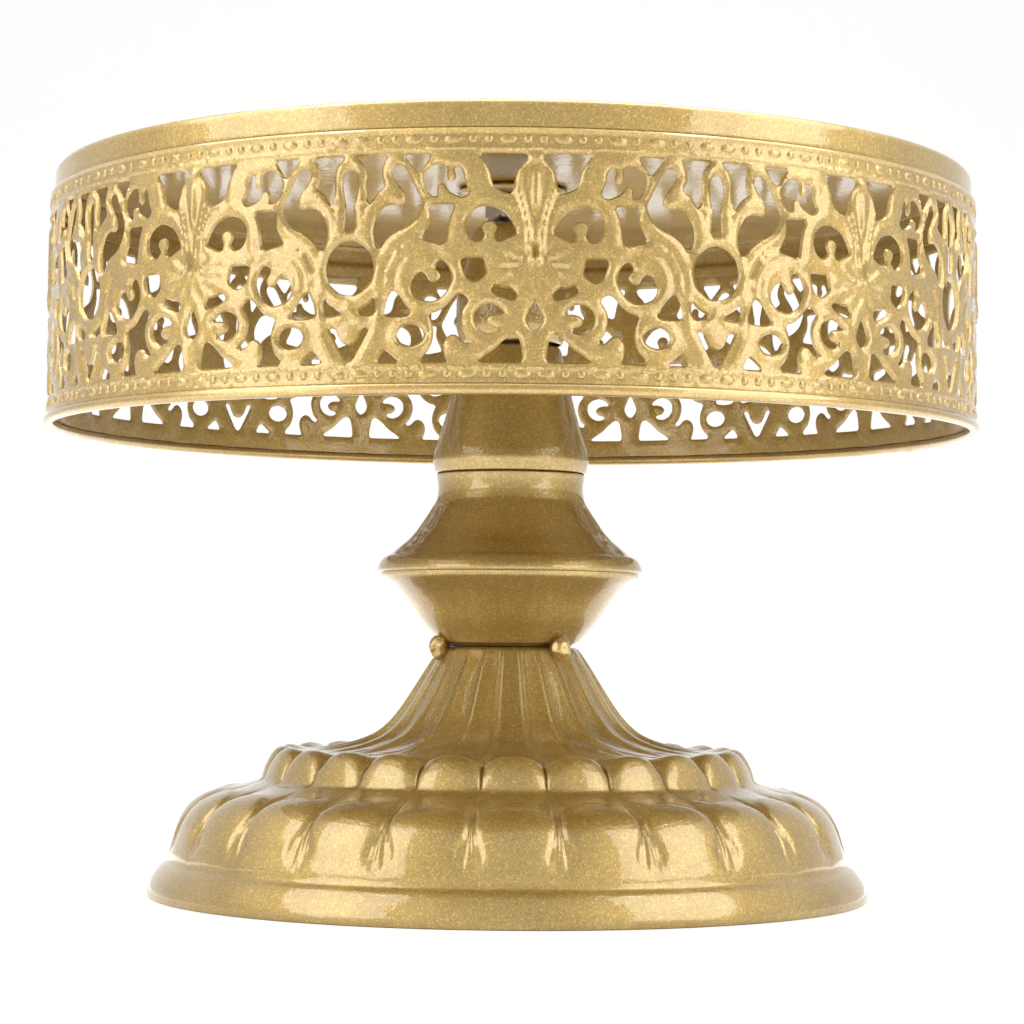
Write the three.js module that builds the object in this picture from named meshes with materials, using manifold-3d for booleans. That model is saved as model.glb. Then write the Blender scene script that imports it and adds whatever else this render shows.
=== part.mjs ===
// Cake stand: a flat pan with a pierced lace apron, carried on a stamped
// baluster stem over a fluted, scalloped foot.
// Millimetres, +Z up. Origin: centre of the foot, on the surface it stands on.
// Angles are degrees from the front (-Y), growing towards the right (+X).

import * as THREE from 'three';
import { mergeVertices } from 'three/addons/utils/BufferGeometryUtils.js';
import Module from 'manifold-3d';

const wasm = await Module();
wasm.setup();

// ---------------------------------------------------------------- dimensions

const GAP = 0.3;              // clearance between pieces that touch
const HEIGHT = 191.3;         // foot to plate top
const RING_OUTER_R = 125;     // widest radius, over the wire ring

const PLATE_R = 122.8;
const PLATE_SHEET = 1.0;
const PLATE_EDGE_R = 2.0;     // rounding between the top and the skirt
const SKIRT_BOTTOM = 180.8;
const SKIRT_STEP = 0.9;       // the skirt steps in behind the lace band

const WIRE_R = 1.6;
const WIRE_Z = 124.7;

const BAND_SHEET = 0.9;
const BAND_TOP = 184.3;
const BAND_BOTTOM = WIRE_Z + WIRE_R + GAP;
const BAND_TOP_R = 122.7;     // inner radius at the top edge
const BAND_FLARE = 0.3;       // how much wider the bottom edge is
const REPEATS = 9;            // motif repeats round the band
const PERIOD = 360 / REPEATS;
const SEAM_ANGLE = 162.3;     // the strip's butt joint, behind
const BORDER_STEP = 5;        // degrees between points along the band's edges

const ROD_R = 4;
const ROD_HOLE_R = ROD_R + GAP + 0.1;
const ROD_BOTTOM = 54;
const NUT_R = 7.5;            // corner radius of the 13 mm hexagon
const NUT_HEIGHT = 6.5;
const SUPPORT_R = 15;
const SUPPORT_SHEET = 1.4;
const WASHER_R = 12;
const WASHER_SHEET = 1.5;

const STEM_SHEET = 0.9;
const STEM_SIDES = 24;
const ROUND_SIDES = 48;         // plate and wire ring

const FOOT_SHEET = 1.2;
const LOBES = 25;             // scallops and gadroons round the foot
const LOBE_CENTRE = 1.2;      // angle of the first lobe
const FOOT_TOP = 66.3;

const TACK_ANGLES = [-66, 41, 161];
const TACK_R = 20.4;
const TACK_Z = 66.6;
const TACK_SIZE = 3.4;

// ----------------------------------------------------------------- materials

const goldPaint = new THREE.MeshStandardMaterial({ color: 0xbf9a4f, roughness: 0.34, metalness: 0.9 });
const paleGold = new THREE.MeshStandardMaterial({ color: 0xcdb277, roughness: 0.3, metalness: 0.9 });
const zincSteel = new THREE.MeshStandardMaterial({ color: 0xa9a8a2, roughness: 0.45, metalness: 1.0 });

// ------------------------------------------------------------------- helpers

const radians = (degrees) => degrees * Math.PI / 180;

// To a thousandth, so that points worked out two ways still meet.
const snapped = (value) => Math.round(value * 1000) / 1000;

// Turns a Y-up lathe or cylinder into a Z-up one whose angles start at -Y.
function upright(geometry) {
  return geometry.rotateX(Math.PI / 2);
}

// Only positions, with shared vertices merged and collapsed triangles dropped.
function welded(geometry) {
  const bare = geometry.clone();
  bare.deleteAttribute('normal');
  bare.deleteAttribute('uv');
  const merged = mergeVertices(bare, 1e-4);
  const index = merged.index.array;
  const kept = [];
  for (let i = 0; i < index.length; i += 3) {
    const [a, b, c] = [index[i], index[i + 1], index[i + 2]];
    if (a !== b && b !== c && c !== a) kept.push(a, b, c);
  }
  merged.setIndex(kept);
  return merged;
}

function toSolid(geometry) {
  const mesh = welded(geometry);
  return new wasm.Manifold(new wasm.Mesh({
    numProp: 3,
    vertProperties: new Float32Array(mesh.attributes.position.array),
    triVerts: new Uint32Array(mesh.index.array),
  }));
}

function toGeometry(solid) {
  const mesh = solid.getMesh();
  const geometry = new THREE.BufferGeometry();
  geometry.setAttribute('position', new THREE.BufferAttribute(mesh.vertProperties, 3));
  geometry.setIndex(new THREE.BufferAttribute(mesh.triVerts, 1));
  return geometry;
}

// A closed solid of revolution from [radius, z] points, listed anticlockwise.
function turned(points, sides, start = 0) {
  const profile = points.map(([r, z]) => new THREE.Vector2(r, z));
  return upright(new THREE.LatheGeometry(profile, sides, radians(start), 2 * Math.PI));
}

// The [radius, z] line moved sideways by a distance, to its left as it runs.
function offsetLine(points, distance) {
  return points.map(([r, z], i) => {
    const [r0, z0] = points[Math.max(i - 1, 0)];
    const [r1, z1] = points[Math.min(i + 1, points.length - 1)];
    const length = Math.hypot(r1 - r0, z1 - z0);
    return [r - (z1 - z0) / length * distance, z + (r1 - r0) / length * distance];
  });
}

// Sheet metal: the outside line, listed upwards, and the same line one sheet in.
function sheetProfile(outside, sheet) {
  const inside = offsetLine(outside, sheet).reverse();
  return [...outside, ...inside, outside[0]];
}

function named(name, geometry, material) {
  const mesh = new THREE.Mesh(welded(geometry), material);
  mesh.name = name;
  return mesh;
}

// --------------------------------------------------------------------- plate

// A shallow pan turned upside down: flat top, rounded edge, short skirt.
function plate() {
  const skirtR = PLATE_R - SKIRT_STEP;
  const stepZ = BAND_TOP + GAP;
  const outside = [
    [skirtR, SKIRT_BOTTOM],
    [skirtR, stepZ],
    [PLATE_R, stepZ + SKIRT_STEP],
    [PLATE_R, HEIGHT - PLATE_EDGE_R],
    [PLATE_R - 0.6, HEIGHT - 0.6],
    [PLATE_R - PLATE_EDGE_R, HEIGHT],
    [0, HEIGHT],
  ];
  const inside = [
    [0, HEIGHT - PLATE_SHEET],
    [PLATE_R - PLATE_EDGE_R, HEIGHT - PLATE_SHEET],
    [PLATE_R - PLATE_SHEET, HEIGHT - PLATE_EDGE_R],
    [PLATE_R - PLATE_SHEET, stepZ + SKIRT_STEP],
    [skirtR - PLATE_SHEET, stepZ],
    [skirtR - PLATE_SHEET, SKIRT_BOTTOM],
  ];
  return turned([...outside, ...inside, outside[0]], ROUND_SIDES);
}

// ----------------------------------------------------------------- lace band

// Holes in half a repeat, as [degrees from the palmette's axis, z] points.
// The other half is their mirror image.
const HALF_REPEAT_HOLES = [
  [[1.2, 178.2], [5.9, 178.2], [4.7, 172.5], [2.6, 169.3], [2, 174.4]],
  [[7.1, 169.6], [8.3, 174.8], [10.6, 175.4], [11.7, 172.4], [10.5, 169]],
  [[12.1, 167.3], [14.2, 175.5], [15.3, 173.5], [13.9, 168], [17.3, 162.6], [17, 157.2], [12.7, 163.8]],
  [[16.1, 178.2], [19.2, 178.2], [18.1, 173], [17.8, 167.6], [16.5, 170.8]],
  [[8.7, 166.6], [11.2, 166.6], [12, 158.9], [9.6, 157.9]],
  [[2, 160.4], [3.2, 164.9], [5.5, 166.2], [7.3, 163.4], [7, 159.2], [4.2, 159]],
  [[5.3, 154.4], [7.8, 154.4], [7.4, 150.4], [5.4, 150]],
  [[3.3, 140.6], [4.8, 144], [6.3, 140.6], [4.8, 137.4]],
  [[1.4, 131], [5.9, 131], [2.3, 137.2]],
  [[8.9, 149.9], [9.9, 153.4], [12.8, 149.9], [12.4, 145.6], [9.6, 146.2]],
  [[7.5, 146.3], [11.2, 141.6], [11.9, 131], [9.3, 131], [9.2, 136.5], [7.3, 136.5]],
  [[11.8, 137], [13.2, 139.4], [14.7, 137], [13.2, 134.6]],
  [[13.3, 142.4], [15.2, 147.2], [16, 141.6]],
];

// The lily axis crosses three holes: this is the strip's edge there, upwards,
// as [degrees from the lily's axis, z] points.
const LILY_EDGE = [
  [0, 131.2], [2.3, 138.6], [0, 135.2],
  [0, 146.4], [1.9, 148.2], [2.7, 152.6], [1.9, 157], [0, 158.8],
  [0, 161.3], [0.6, 161.3], [0.8, 172.5], [0, 175],
];

const mirrored = (points) => points.map(([angle, z]) => [-angle, z]).reverse();
const shifted = (points, angle) => points.map(([a, z]) => [a + angle, z]);

// The outline from the palmette's axis to the lily's, with a point every
// BORDER_STEP degrees along the edges.
function halfRepeatOutline() {
  const bottom = [];
  for (let angle = 0; angle <= PERIOD / 2; angle += BORDER_STEP) bottom.push([angle, BAND_BOTTOM]);
  const top = bottom.map(([angle]) => [angle, BAND_TOP]).reverse();
  const lilyEdge = LILY_EDGE.map(([angle, z]) => [PERIOD / 2 - angle, z]);
  return [...bottom, ...lilyEdge, ...top];
}

// The band flares a little, so its flat pattern is a fan: z runs outwards from
// the fan's centre.
function onFan([angle, z]) {
  return new THREE.Vector2(z * Math.sin(radians(angle)), z * Math.cos(radians(angle)));
}

// Where a point of the flat pattern lands once the band is rolled up.
function rolled({ angle, z, depth }, turn) {
  const seam = THREE.MathUtils.radToDeg(GAP / BAND_TOP_R / 2);
  const along = THREE.MathUtils.clamp(angle + turn, seam, 360 - seam);
  const flare = BAND_FLARE * (BAND_TOP - z) / (BAND_TOP - BAND_BOTTOM);
  const r = BAND_TOP_R + flare + depth;
  return [r * Math.sin(radians(along + SEAM_ANGLE)), -r * Math.cos(radians(along + SEAM_ANGLE)), z];
}

// Half a repeat, rolled to its place. It is left open where the next one
// carries on from it, and closed at the seam.
function bandStretch(outline, holes, turn) {
  const pattern = new THREE.Shape(outline.map(onFan));
  pattern.holes = holes.map((hole) => new THREE.Path(hole.map(onFan)));
  const flat = new THREE.ExtrudeGeometry(pattern, { depth: BAND_SHEET, bevelEnabled: false });
  const position = flat.attributes.position;
  const atSeam = turn % 360 === 0;
  const points = [];
  for (let i = 0; i < position.count; i += 3) {
    const corners = [i, i + 1, i + 2].map((j) => ({
      angle: snapped(THREE.MathUtils.radToDeg(Math.atan2(position.getX(j), position.getY(j)))),
      z: snapped(Math.hypot(position.getX(j), position.getY(j))),
      depth: position.getZ(j),
    }));
    const onPalmetteAxis = corners.every(({ angle }) => angle === 0);
    const onLilyAxis = corners.every(({ angle }) => Math.abs(angle) === PERIOD / 2);
    if (onLilyAxis || (onPalmetteAxis && !atSeam)) continue;
    points.push(...corners.flatMap((corner) => rolled(corner, turn)));
  }
  return points;
}

function laceBand() {
  const outline = halfRepeatOutline();
  const holes = HALF_REPEAT_HOLES;
  const points = [];
  for (let k = 0; k < REPEATS; k += 1) {
    points.push(...bandStretch(outline, holes, k * PERIOD));
    points.push(...bandStretch(mirrored(outline), holes.map(mirrored), (k + 1) * PERIOD));
  }
  const band = new THREE.BufferGeometry();
  return band.setAttribute('position', new THREE.Float32BufferAttribute(points, 3));
}

function wireRing() {
  const section = [];
  const sides = 6;
  for (let i = 0; i <= sides; i += 1) {
    const turn = 2 * Math.PI * (i % sides) / sides;
    section.push([
      RING_OUTER_R - WIRE_R + WIRE_R * Math.cos(turn),
      WIRE_Z + WIRE_R * Math.sin(turn),
    ]);
  }
  return turned(section, ROUND_SIDES);
}

// ---------------------------------------------------------------------- stem

// Outside lines of the stampings, upwards, as [radius, z].

const CUP_LINE = [
  [13.4, 148], [15.2, 153], [15, 160], [14.4, 165.5], [12.2, 172], [11.8, 177],
  [8.5, 180.5], [ROD_HOLE_R, 180.5],
];

const BELL_LINE = [
  [20.3, 113.1], [21.1, 116.4], [17.6, 130], [14.5, 140.5], [13.6, 145.5],
  [12, 147.7], [ROD_HOLE_R, 147.7],
];

const SKIRT_LINE = [
  [35.5, 86.4], [35.5, 87.2], [34.6, 89.6], [32.9, 90.7], [30.1, 92.9], [25.5, 97.2], [20.6, 104.2],
  [19.5, 108.5], [19.5, 112], [18.6, 112.8], [ROD_HOLE_R, 112.8],
];

// The bowl stands open end up, so its line runs from the rod hole to the rim. Its
// middle is dished down to meet the foot, which leaves a slot round the waist.
const BOWL_LINE = [
  [ROD_HOLE_R, 66.6], [16.6, 66.6], [17.3, 67.9], [19.2, 67.9], [24.5, 73.5], [31.4, 82.1],
  [35.5, 85.2], [35.5, 86.1],
];

function stamping(line) {
  return turned(sheetProfile(line, STEM_SHEET), STEM_SIDES);
}

// ---------------------------------------------------------------------- foot

// Outside line of the foot, upwards, with how deep the grooves between the
// lobes cut at each point: [radius, z, groove depth].
const FOOT_LINE = [
  [96.2, 0, 0],
  [96.2, 1.6, 0],
  [92, 8.2, 0],
  [90, 9.6, 0.4],
  [89.2, 15.4, 1.6],
  [85.8, 23, 2.2],
  [77.5, 28.2, 2.4],
  [66.4, 31, 0.6],
  [62.9, 37.3, 3.2],
  [60.2, 39.4, 2.8],
  [52, 38.5, 0.6],
  [36, 42.6, 0.8],
  [25.2, 55.1, 0.9],
  [18.4, FOOT_TOP, 0],
  [ROD_HOLE_R, FOOT_TOP, 0],
];

// Two sides a lobe, so that every other edge of the lathe is a groove.
function foot() {
  const outside = FOOT_LINE.map(([r, z]) => [r, z]);
  const inside = offsetLine(outside, FOOT_SHEET).reverse();
  inside[inside.length - 1] = [outside[0][0] - 2.6, 0];
  const depths = FOOT_LINE.map(([, , depth]) => depth);
  const grooves = [...depths, ...[...depths].reverse(), depths[0]];
  const line = [...outside, ...inside, outside[0]];
  const geometry = turned(line, 2 * LOBES, LOBE_CENTRE);

  const position = geometry.attributes.position;
  for (let i = 0; i < position.count; i += 1) {
    const side = Math.floor(i / line.length);
    const depth = side % 2 === 1 ? grooves[i % line.length] : 0;
    const r = Math.hypot(position.getX(i), position.getY(i));
    const scale = (r - depth) / r;
    position.setXYZ(i, position.getX(i) * scale, position.getY(i) * scale, position.getZ(i));
  }
  return geometry;
}

// A lump of weld at the waist, cut clear of the bowl above and the foot below.
function tackWeld(angle) {
  const lump = new THREE.SphereGeometry(TACK_SIZE, 8, 6);
  lump.scale(1, 1, 1.25);
  lump.translate(TACK_R * Math.sin(radians(angle)), -TACK_R * Math.cos(radians(angle)), TACK_Z);
  const clearLine = [
    [0, 58],
    [24.2, 58],
    [19.3, 65.8],
    [18.3, FOOT_TOP + GAP],
    [18.3, 67.9 - GAP],
    [19.4, 67.9 - GAP],
    [21, 69.2],
    [25.6, 74],
    [0, 74],
  ];
  return toGeometry(toSolid(lump).subtract(toSolid(turned(clearLine, ROUND_SIDES))));
}

// ----------------------------------------------------------------- fastening

function rod(bottom, top) {
  const geometry = upright(new THREE.CylinderGeometry(ROD_R, ROD_R, top - bottom, 16));
  return geometry.translate(0, 0, (top + bottom) / 2);
}

function hexNut(bottom) {
  const body = upright(new THREE.CylinderGeometry(NUT_R, NUT_R, NUT_HEIGHT, 6));
  const hole = upright(new THREE.CylinderGeometry(ROD_HOLE_R, ROD_HOLE_R, NUT_HEIGHT * 2, 16));
  const nut = toGeometry(toSolid(body).subtract(toSolid(hole)));
  return nut.translate(0, 0, bottom + NUT_HEIGHT / 2);
}

function washer(radius, bottom, top) {
  const section = [[ROD_HOLE_R, bottom], [radius, bottom], [radius, top], [ROD_HOLE_R, top]];
  return turned([...section, section[0]], 24);
}

// ------------------------------------------------------------------ assembly

const supportTop = HEIGHT - PLATE_SHEET - GAP;
const supportBottom = supportTop - SUPPORT_SHEET;
const topNutBottom = supportBottom - GAP - NUT_HEIGHT;
const washerTop = FOOT_TOP - FOOT_SHEET - GAP;
const washerBottom = washerTop - WASHER_SHEET;
const footNutBottom = washerBottom - GAP - NUT_HEIGHT;

const stand = new THREE.Group();
stand.add(
  named('plate', plate(), goldPaint),
  named('lace_band', laceBand(), goldPaint),
  named('wire_ring', wireRing(), paleGold),
  named('support_washer', washer(SUPPORT_R, supportBottom, supportTop), goldPaint),
  named('top_nut', hexNut(topNutBottom), zincSteel),
  named('stem_cup', stamping(CUP_LINE), goldPaint),
  named('stem_bell', stamping(BELL_LINE), goldPaint),
  named('stem_skirt', stamping(SKIRT_LINE), goldPaint),
  named('stem_bowl', stamping(BOWL_LINE), goldPaint),
  named('foot', foot(), goldPaint),
  named('tie_rod', rod(ROD_BOTTOM, supportTop), zincSteel),
  named('foot_washer', washer(WASHER_R, washerBottom, washerTop), zincSteel),
  named('foot_nut', hexNut(footNutBottom), zincSteel),
);
TACK_ANGLES.forEach((angle, i) => {
  stand.add(named(`tack_weld_${i + 1}`, tackWeld(angle), paleGold));
});

export default stand;
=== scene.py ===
import math
import random

import bmesh
import bpy
import numpy as np
from mathutils import Euler, Matrix, Vector, noise
from mathutils.geometry import delaunay_2d_cdt


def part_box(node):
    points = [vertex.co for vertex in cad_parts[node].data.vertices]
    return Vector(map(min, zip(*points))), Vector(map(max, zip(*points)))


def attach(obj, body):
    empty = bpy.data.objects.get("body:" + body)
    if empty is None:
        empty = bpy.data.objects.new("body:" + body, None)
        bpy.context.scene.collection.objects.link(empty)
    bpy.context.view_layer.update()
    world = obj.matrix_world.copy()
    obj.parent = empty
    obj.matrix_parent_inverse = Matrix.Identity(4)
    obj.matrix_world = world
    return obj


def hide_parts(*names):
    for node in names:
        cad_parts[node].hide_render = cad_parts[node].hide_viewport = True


# Lengths in this script are millimetres until a mesh is made. Angles are degrees
# from the front (-Y), growing towards the right (+X).
MM = 0.001

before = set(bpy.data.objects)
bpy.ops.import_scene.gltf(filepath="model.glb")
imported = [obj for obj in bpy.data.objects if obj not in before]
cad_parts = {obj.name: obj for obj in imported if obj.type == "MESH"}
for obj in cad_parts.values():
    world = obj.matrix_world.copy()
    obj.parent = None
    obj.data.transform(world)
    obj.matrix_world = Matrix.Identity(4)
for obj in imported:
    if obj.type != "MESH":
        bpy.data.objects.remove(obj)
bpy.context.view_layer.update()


def node_box(name):
    """Lowest z, highest z and outer radius of a CAD node, in millimetres."""
    low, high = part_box(name)
    reach = max(abs(low.x), abs(low.y), high.x, high.y)
    return low.z / MM, high.z / MM, reach / MM


# ------------------------------------------------------------------ dimensions

PLATE_BOTTOM, PLATE_TOP, PLATE_R = node_box("plate")
BAND_BOTTOM, BAND_TOP, BAND_OUTER_R = node_box("lace_band")
WIRE_BOTTOM, WIRE_TOP, WIRE_OUTER_R = node_box("wire_ring")
FOOT_BOTTOM, _, FOOT_R = node_box("foot")
SHEET = 1.0
BAND_SHEET = 0.9
BAND_FLARE = 0.3
BAND_INNER_R = BAND_OUTER_R - BAND_SHEET - BAND_FLARE
STEM_SHEET = 0.9
FOOT_SHEET = 1.2
ROD_HOLE_R = 4.4
REPEATS = 9
HALF_REPEAT = 180 / REPEATS
SEAM_ANGLE = 162.3
SEAM_GAP = 0.05
LOBES = 25
LOBE_CENTRE = 1.2               # angle of the lobe nearest the front
RADIUS = WIRE_OUTER_R           # the lace is drawn in shares of this radius
COINCIDENT = 0.002              # points closer than this are one point


# ------------------------------------------------------------------ mesh tools

def mesh_piece(name, points, faces, crease=38):
    """A smooth-shaded object from millimetre points, with sharp edges where it folds."""
    mesh = bpy.data.meshes.new(name)
    mesh.from_pydata((np.asarray(points, float) * MM).tolist(), [], faces)
    mesh.validate()
    shell = bmesh.new()
    shell.from_mesh(mesh)
    bmesh.ops.remove_doubles(shell, verts=shell.verts, dist=COINCIDENT * MM)
    bmesh.ops.recalc_face_normals(shell, faces=shell.faces)
    shell.to_mesh(mesh)
    shell.free()
    mesh.polygons.foreach_set("use_smooth", [True] * len(mesh.polygons))
    mesh.set_sharp_from_angle(angle=math.radians(crease))
    made = bpy.data.objects.new(name, mesh)
    bpy.context.scene.collection.objects.link(made)
    return made


def dress(piece, node, slot):
    """The piece gets its slot's paint, rides the one body and stands for its CAD node."""
    piece.data.materials.append(FINISHES[slot])
    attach(piece, "root")
    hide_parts(node)
    return piece


def softened(points, reach, per_corner=5, closed=False):
    """A line whose corners are turned into short parabolas. Columns after the first
    two ride along, so a line can carry other values with it."""
    points = np.asarray(points, float)
    count = len(points)
    line = []
    for i in range(count):
        if not closed and i in (0, count - 1):
            line.append(points[i])
            continue
        before = points[i - 1] - points[i]
        after = points[(i + 1) % count] - points[i]
        start = points[i] + before * min(0.5, reach / max(np.hypot(*before[:2]), 1e-9))
        end = points[i] + after * min(0.5, reach / max(np.hypot(*after[:2]), 1e-9))
        for k in range(per_corner + 1):
            t = k / per_corner
            line.append((1 - t) ** 2 * start + 2 * t * (1 - t) * points[i] + t * t * end)
    return np.array(line)


def evened(line, step, closed=False):
    """The line again, with points at equal distances of about one step."""
    line = np.asarray(line, float)
    if closed:
        line = np.vstack([line, line[:1]])
    gaps = np.hypot(*np.diff(line[:, :2], axis=0).T)
    kept = np.concatenate([[True], gaps > 1e-7])
    line = line[kept]
    along = np.concatenate([[0], np.cumsum(gaps[gaps > 1e-7])])
    count = max(2, int(round(along[-1] / step)))
    places = np.linspace(0, along[-1], count + 1)
    even = np.stack([np.interp(places, along, column) for column in line.T], axis=1)
    return even[:-1] if closed else even


def beside(points, distance):
    """The line moved to its left by a distance, corners mitred."""
    points = np.asarray(points, float)
    moved = points.copy()
    for i in range(len(points)):
        normals = []
        for a, b in ((i - 1, i), (i, i + 1)):
            if a < 0 or b >= len(points):
                continue
            run = points[b, :2] - points[a, :2]
            length = np.hypot(*run)
            if length > 1e-6:
                normals.append(np.array([-run[1], run[0]]) / length)
        middle = sum(normals)
        middle = middle / np.hypot(*middle)
        stretch = max(0.5, float(middle @ normals[0]))
        moved[i, :2] = points[i, :2] + middle * distance / stretch
    return moved


def around(angle, r, z):
    """The point at an angle and a radius from the axis."""
    turn = math.radians(angle)
    return (r * math.sin(turn), -r * math.cos(turn), z)


def circle(r, z, sides):
    return [around(360 * i / sides, r, z) for i in range(sides)]


def rings(rows, closed_loop):
    """Quads between rows of points that run round the axis. A row may be one point."""
    points = []
    spans = []
    for row in rows:
        spans.append((len(points), len(row)))
        points.extend(row)
    pairs = list(zip(spans, spans[1:]))
    if closed_loop:
        pairs.append((spans[-1], spans[0]))
    sides = max(count for _, count in spans)
    faces = []
    for (low, low_count), (high, high_count) in pairs:
        for i in range(sides):
            j = (i + 1) % sides
            corners = [low + i % low_count, low + j % low_count,
                       high + j % high_count, high + i % high_count]
            face = list(dict.fromkeys(corners))
            if len(face) > 2:
                faces.append(face)
    return points, faces


def lathe(name, line, sides):
    """A round piece from its closed section, listed as [radius, z]."""
    rows = [circle(r, z, sides) if r > 1e-6 else [(0, 0, z)] for r, z in line]
    return mesh_piece(name, *rings(rows, True))


def sheet_line(outside, sheet, reach, step, inside_step):
    """The closed section of a stamping, from its outside line listed upwards."""
    outer = evened(softened(outside, reach), step)
    inner = evened(softened(beside(outside, sheet), reach), inside_step)[::-1]
    return np.vstack([outer, inner])


def smooth_step(value):
    value = np.clip(value, 0, 1)
    return value * value * (3 - 2 * value)


# ------------------------------------------------------------------- materials

def feed(tree, node, inputs):
    """Give inputs of a node their values, or the sockets that they come from."""
    for name, value in inputs.items():
        if isinstance(value, bpy.types.NodeSocket):
            tree.links.new(value, node.inputs[name])
        else:
            node.inputs[name].default_value = value


def add_node(tree, kind, inputs):
    made = tree.nodes.new(kind)
    feed(tree, made, inputs)
    return made


def noise_at(tree, place, scale, detail, roughness):
    return add_node(tree, "ShaderNodeTexNoise", {
        "Vector": place, "Scale": scale, "Detail": detail, "Roughness": roughness}).outputs["Fac"]


def product(tree, first, second):
    made = tree.nodes.new("ShaderNodeVectorMath")
    made.operation = "MULTIPLY"
    feed(tree, made, {0: first, 1: second})
    return made.outputs["Vector"]


def new_material(name):
    material = bpy.data.materials.new(name)
    material.use_nodes = True
    tree = material.node_tree
    tree.nodes.clear()
    shader = tree.nodes.new("ShaderNodeBsdfPrincipled")
    add_node(tree, "ShaderNodeOutputMaterial", {"Surface": shader.outputs["BSDF"]})
    place = tree.nodes.new("ShaderNodeTexCoord").outputs["Object"]
    return material, tree, shader, place


def ramp(tree, value, stops):
    made = add_node(tree, "ShaderNodeValToRGB", {"Fac": value})
    elements = made.color_ramp.elements
    while len(elements) < len(stops):
        elements.new(0.5)
    for element, (position, colour) in zip(elements, stops):
        element.position = position
        element.color = colour if len(colour) == 4 else (*colour, 1)
    return made.outputs["Color"]


def grey(value):
    return (value, value, value)


def flake_paint(name, dark, light, roughness, flake):
    """Metallic paint: blotchy colour, fine flakes, slight orange peel, clear coat."""
    material, tree, shader, place = new_material(name)
    blotch = noise_at(tree, place, 55, 5, 0.6)
    tint = ramp(tree, blotch, [(0.3, dark), (0.7, light)])
    flakes = add_node(tree, "ShaderNodeTexVoronoi", {"Vector": place, "Scale": 2600})
    sparkle = ramp(tree, flakes.outputs["Distance"],
                   [(0.0, grey(1 + flake)), (0.55, grey(1)), (1.0, grey(1 - flake))])
    speckle = add_node(tree, "ShaderNodeTexWhiteNoise", {"Vector": flakes.outputs["Position"]})
    glitter = ramp(tree, speckle.outputs["Value"],
                   [(0.0, grey(1 - flake)), (0.8, grey(1)), (1.0, grey(1 + 2 * flake))])
    colour = product(tree, product(tree, tint, glitter), sparkle)
    wear = noise_at(tree, place, 170, 6, 0.65)
    rough = ramp(tree, wear, [(0.3, grey(roughness - 0.05)), (0.7, grey(roughness + 0.06))])
    peel = noise_at(tree, place, 420, 3, 0.5)
    grain = noise_at(tree, place, 2200, 2, 0.6)
    wavy = add_node(tree, "ShaderNodeBump", {
        "Height": peel, "Strength": 0.35, "Distance": 0.00016}).outputs["Normal"]
    grained = add_node(tree, "ShaderNodeBump", {
        "Height": grain, "Strength": 0.5, "Distance": 0.00005, "Normal": wavy})
    feed(tree, shader, {
        "Base Color": colour, "Roughness": rough, "Normal": grained.outputs["Normal"],
        "Coat Normal": wavy, "Metallic": 0.86, "Coat Weight": 1.0, "Coat Roughness": 0.05,
        "Coat IOR": 1.6})
    return material


def zinc_plating(name):
    """Dull grey plated steel with a faint spangle and handling marks."""
    material, tree, shader, place = new_material(name)
    spangle = add_node(tree, "ShaderNodeTexVoronoi", {"Vector": place, "Scale": 650})
    tint = ramp(tree, spangle.outputs["Distance"],
                [(0.0, (0.42, 0.42, 0.40)), (1.0, (0.56, 0.55, 0.52))])
    stain = noise_at(tree, place, 240, 6, 0.7)
    rough = ramp(tree, stain, [(0.3, grey(0.32)), (0.7, grey(0.52))])
    bump = add_node(tree, "ShaderNodeBump", {
        "Height": stain, "Strength": 0.3, "Distance": 0.00008})
    feed(tree, shader, {"Base Color": tint, "Roughness": rough,
                        "Normal": bump.outputs["Normal"], "Metallic": 1.0})
    return material


FINISHES = {
    "gold_paint": flake_paint("gold_flake_paint", (0.36, 0.236, 0.061), (0.44, 0.305, 0.09),
                              roughness=0.48, flake=0.18),
    "pale_gold_paint": flake_paint("pale_gold_paint", (0.38, 0.245, 0.068),
                                   (0.46, 0.315, 0.1), roughness=0.40, flake=0.16),
    "zinc_plate": zinc_plating("zinc_plating"),
}


# ----------------------------------------------------------------------- plate

SKIRT_STEP = 0.9
PLATE_SIDES = 288
TOP_RINGS = [110, 85, 60, 30, 0]


def plate_pan():
    """The pan: a flat top, a rounded edge and a skirt that steps in behind the lace."""
    top_r = PLATE_R
    step_r = PLATE_R - SKIRT_STEP
    outside = [
        [step_r, PLATE_BOTTOM], [step_r, BAND_TOP - 0.6], [top_r, BAND_TOP + 0.5],
        [top_r, PLATE_TOP - 1.4], [top_r - 0.5, PLATE_TOP - 0.4], [top_r - 1.5, PLATE_TOP],
        [top_r - 5, PLATE_TOP],
    ]
    outer = evened(softened(outside, 0.5), 0.35)
    inner = evened(softened(beside(outside, SHEET), 0.5), 0.8)[::-1]
    top = [[r, PLATE_TOP] for r in TOP_RINGS]
    under = [[r, PLATE_TOP - SHEET] for r in TOP_RINGS[::-1]]
    line = np.vstack([outer, top, under, inner])
    return lathe("plate_pan", line, PLATE_SIDES)


# ------------------------------------------------------------------- lace band

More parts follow.
